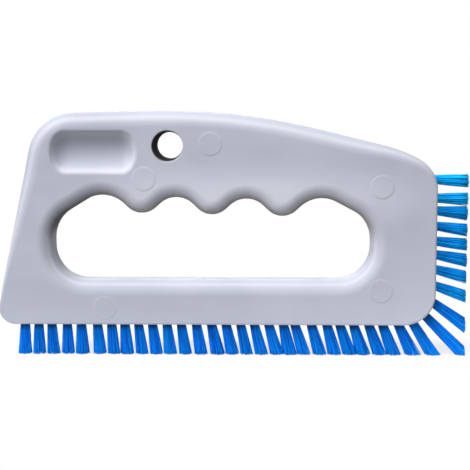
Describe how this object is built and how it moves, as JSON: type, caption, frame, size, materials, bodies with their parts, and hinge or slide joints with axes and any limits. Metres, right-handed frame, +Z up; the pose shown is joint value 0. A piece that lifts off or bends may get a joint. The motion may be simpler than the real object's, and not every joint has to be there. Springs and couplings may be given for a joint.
{
  "type": "grout brush",
  "caption": "Hand-held grout scrubbing brush: a flat moulded handle with a finger-grip hand opening and a hanging hole, edged along its foot and nose with stiff bristle tufts.",
  "frame": {"origin": "middle of the bounding box's underside: the trimmed tips of the long row stand at height 0", "axes": "+X from the heel towards the nose, along the long row; +Y from the front face, which has the thumb scoop, to the back; +Z up"},
  "size_m": [0.1672, 0.0161, 0.0881],
  "materials": {
    "handle": "satin moulded grey",
    "bristle": "drawn blue filament",
    "anchor": "flat drawn wire"
  },
  "bodies": {
    "root": {"handle_block": "handle", "tuft_long_01": "bristle", "tuft_long_02": "bristle", "tuft_long_03": "bristle", "tuft_long_04": "bristle", "tuft_long_05": "bristle", "tuft_long_06": "bristle", "tuft_long_07": "bristle", "tuft_long_08": "bristle", "tuft_long_09": "bristle", "tuft_long_10": "bristle", "tuft_long_11": "bristle", "tuft_long_12": "bristle", "tuft_long_13": "bristle", "tuft_long_14": "bristle", "tuft_long_15": "bristle", "tuft_long_16": "bristle", "tuft_long_17": "bristle", "tuft_long_18": "bristle", "tuft_long_19": "bristle", "tuft_long_20": "bristle", "tuft_long_21": "bristle", "tuft_long_22": "bristle", "tuft_long_23": "bristle", "tuft_long_24": "bristle", "tuft_long_25": "bristle", "tuft_long_26": "bristle", "tuft_long_27": "bristle", "tuft_toe_01": "bristle", "tuft_toe_02": "bristle", "tuft_toe_03": "bristle", "tuft_nose_01": "bristle", "tuft_nose_02": "bristle", "tuft_nose_03": "bristle", "tuft_nose_04": "bristle", "tuft_nose_05": "bristle", "tuft_nose_06": "bristle", "tuft_nose_07": "bristle", "tuft_nose_08": "bristle", "anchors_long": "anchor", "anchors_toe": "anchor", "anchors_nose": "anchor"}
  },
  "joints": []
}
